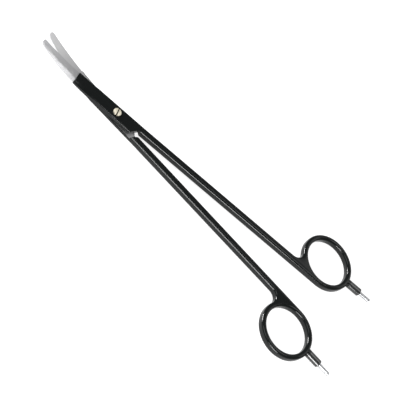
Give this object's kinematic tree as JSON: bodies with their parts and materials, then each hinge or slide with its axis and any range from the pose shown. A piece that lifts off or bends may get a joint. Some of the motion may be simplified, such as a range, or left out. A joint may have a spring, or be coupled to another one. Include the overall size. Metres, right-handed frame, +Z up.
{
  "type": "dissecting scissors",
  "caption": "Long curved dissecting scissors, each half coated black for insulation and ending in a finger ring with a plug pin, joined by a slotted pivot screw.",
  "frame": {"origin": "on the pivot axis, in the plane of the back half's outer face, on which the scissors lie", "axes": "+X from the pivot toward the finger rings, midway between the two halves; +Z up along the pivot axis, toward the screw head and the rising tips; +Y toward the front half's ring"},
  "size_m": [0.2297, 0.0896, 0.0105],
  "materials": {
    "steel": "satin ground stainless steel",
    "black_coat": "glossy black insulating coat",
    "black_sleeve": "moulded black plastic, slightly duller than the coat",
    "bright_pin": "bright turned steel",
    "dark_bush": "dark machined plastic",
    "pale_brass": "pale turned metal, ivory to straw coloured"
  },
  "bodies": {
    "back": {"back_half": "steel", "back_insulation": "black_coat", "back_pin_sleeve": "black_sleeve", "back_contact_pin": "bright_pin", "pivot_screw": "pale_brass", "pivot_washer": "dark_bush"},
    "front": {"front_half": "steel", "front_insulation": "black_coat", "front_pin_sleeve": "black_sleeve", "front_contact_pin": "bright_pin", "pivot_bush": "dark_bush"}
  },
  "joints": [
    {"name": "pivot", "type": "hinge", "parent": "back", "child": "front", "pos_m": [0, 0, 0.0023], "axis": [0, 0, 1], "range_deg": [-8.9, 51.1]}
  ]
}
